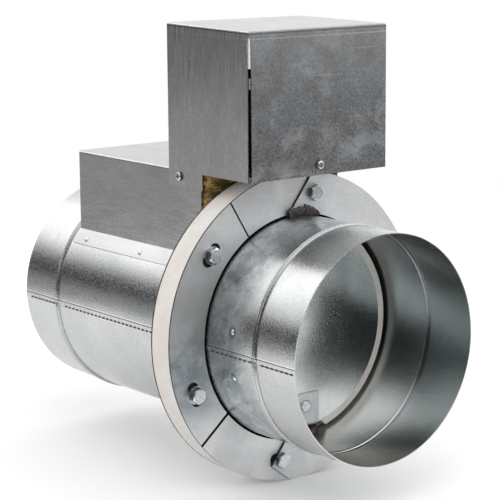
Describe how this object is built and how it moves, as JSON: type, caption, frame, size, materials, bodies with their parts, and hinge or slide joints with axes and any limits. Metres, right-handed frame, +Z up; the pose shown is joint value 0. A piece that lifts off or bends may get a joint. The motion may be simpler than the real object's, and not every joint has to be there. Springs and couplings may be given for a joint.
{
  "type": "round fire damper",
  "caption": "Round duct fire damper with an insulated blade on an upright shaft, a clamped insulating ring and a covered spring-return drive.",
  "frame": {"origin": "centre of the front spigot's mouth, on the duct's axis", "axes": "+Y along the duct from the front mouth to the rear mouth, +Z up towards the drive cover, +X to the right seen from the front"},
  "size_m": [0.278, 0.409, 0.4046],
  "materials": {
    "duct_zinc": "satin",
    "clamp_zinc": "satin",
    "cover_zinc": "satin",
    "box_zinc": "satin",
    "ring_board": "matte",
    "blade_board": "matte",
    "seal_graphite": "matte",
    "mastic": "matte",
    "bolt_zinc": "satin",
    "weld": "matte",
    "shaft_steel": "satin",
    "bush_bronze": "satin",
    "wool": "matte",
    "drive_plastic": "matte",
    "lid_plastic": "matte",
    "pointer_plastic": "gloss",
    "button_plastic": "gloss",
    "grommet_rubber": "matte"
  },
  "bodies": {
    "housing": {"front_duct": "duct_zinc", "rear_duct": "duct_zinc", "insulating_ring": "ring_board", "swelling_seal": "seal_graphite", "front_clamp_left": "clamp_zinc", "front_clamp_top": "clamp_zinc", "front_clamp_bottom": "clamp_zinc", "front_overlay_plate": "clamp_zinc", "rear_clamp_left": "clamp_zinc", "rear_clamp_top": "clamp_zinc", "rear_clamp_bottom": "clamp_zinc", "weld_bead": "weld", "flange_bolts": "bolt_zinc", "head_washers": "bolt_zinc", "nut_washers": "bolt_zinc", "flange_nuts": "bolt_zinc", "upper_bush": "bush_bronze", "lower_bush": "bush_bronze", "upper_mastic": "mastic", "lower_mastic": "mastic", "closing_stop": "clamp_zinc", "stop_rivets": "bolt_zinc", "rear_box": "box_zinc", "rear_box_end": "box_zinc", "box_rivets": "bolt_zinc", "wool_fill": "wool", "console_plate": "clamp_zinc", "console_screws": "bolt_zinc", "drive_base": "drive_plastic", "drive_lid": "lid_plastic", "drive_lid_screws": "bolt_zinc", "drive_mount_screws": "bolt_zinc", "trip_housing": "drive_plastic", "trip_probe": "shaft_steel", "drive_cover": "cover_zinc", "cover_screws": "bolt_zinc", "cable_grommet": "grommet_rubber"},
    "blade": {"blade_core": "blade_board", "blade_front_skin": "duct_zinc", "blade_rear_skin": "duct_zinc", "upper_hub_bracket": "clamp_zinc", "lower_hub_bracket": "clamp_zinc", "hub_bolts": "bolt_zinc", "hub_nuts": "bolt_zinc", "upper_shaft": "shaft_steel", "lower_shaft": "shaft_steel", "drive_hub": "shaft_steel", "clamp_bolt": "bolt_zinc", "clamp_nuts": "bolt_zinc", "position_pointer": "pointer_plastic", "pointer_nut": "bolt_zinc"},
    "button": {"test_button": "button_plastic"}
  },
  "joints": [
    {"name": "blade_turn", "type": "hinge", "parent": "housing", "child": "blade", "pos_m": [0, 0.13125, 0], "axis": [0, 0, -1], "range_deg": [0, 90], "stiffness_Nm_per_rad": 0.6, "springref_deg": -11.46},
    {"name": "test_button_press", "type": "slide", "parent": "housing", "child": "button", "axis": [0, 0, -1], "range_m": [0, 0.0025], "stiffness_N_per_m": 400, "springref_m": -0.001}
  ]
}
